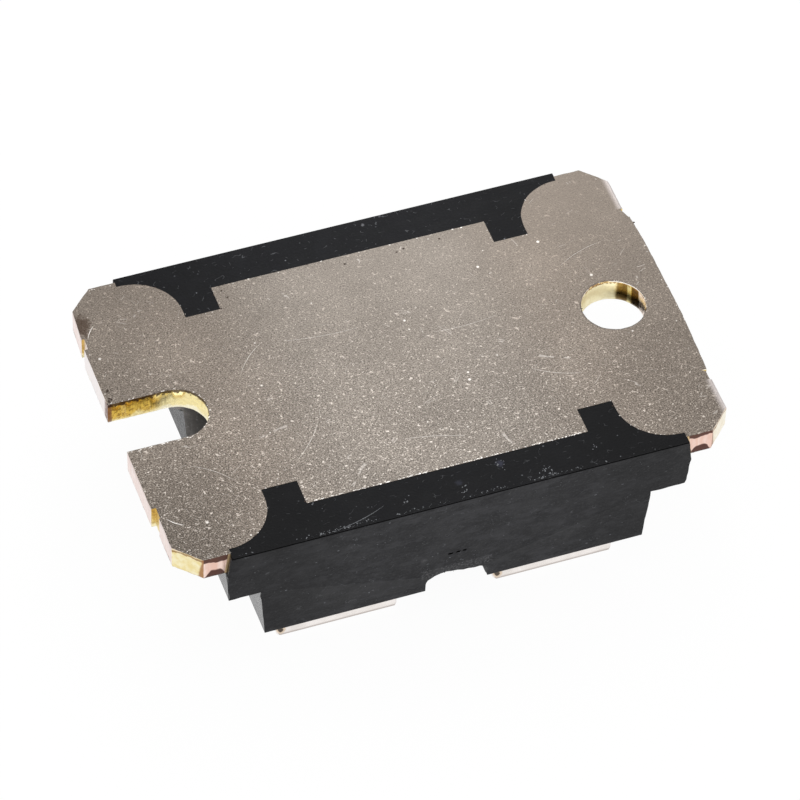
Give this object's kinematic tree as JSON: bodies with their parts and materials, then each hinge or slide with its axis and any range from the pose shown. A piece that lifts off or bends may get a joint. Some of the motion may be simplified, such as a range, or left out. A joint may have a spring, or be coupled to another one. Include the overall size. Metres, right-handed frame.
{
  "type": "diode module",
  "caption": "Screw-terminal rectifier diode module, base plate up: black moulded body locked round a nickel-plated plate with a round hole and an open slot.",
  "frame": {"origin": "centre of the part's footprint, in the plane of the outer faces of the terminal tabs that it lies on", "axes": "+Z from the terminals to the base plate's face, +X along the length towards the end with the round mounting hole, +Y to the rear long side"},
  "size_m": [0.0382, 0.0252, 0.012],
  "materials": {
    "black_epoxy": "satin, moulded",
    "nickel_plating": "matt nickel on copper",
    "terminal_plating": "satin nickel on copper",
    "copper": "bare, sheared",
    "nut_steel": "zinc plated",
    "solder": "dull",
    "alumina": "matt",
    "chip_metal": "satin",
    "wire_aluminium": "drawn"
  },
  "bodies": {
    "root": {"base_plate": "nickel_plating", "housing": "black_epoxy", "substrate_solder": "solder", "substrate_back_copper": "copper", "ceramic_substrate": "alumina", "front_cathode_track": "copper", "front_cathode_terminal": "terminal_plating", "front_cathode_terminal_solder": "solder", "front_cathode_nut": "nut_steel", "front_anode_track": "copper", "front_anode_terminal": "terminal_plating", "front_anode_terminal_solder": "solder", "front_anode_nut": "nut_steel", "front_chip_solder": "solder", "front_diode_chip": "chip_metal", "front_bond_wires": "wire_aluminium", "rear_cathode_track": "copper", "rear_cathode_terminal": "terminal_plating", "rear_cathode_terminal_solder": "solder", "rear_cathode_nut": "nut_steel", "rear_anode_track": "copper", "rear_anode_terminal": "terminal_plating", "rear_anode_terminal_solder": "solder", "rear_anode_nut": "nut_steel", "rear_chip_solder": "solder", "rear_diode_chip": "chip_metal", "rear_bond_wires": "wire_aluminium"}
  },
  "joints": []
}
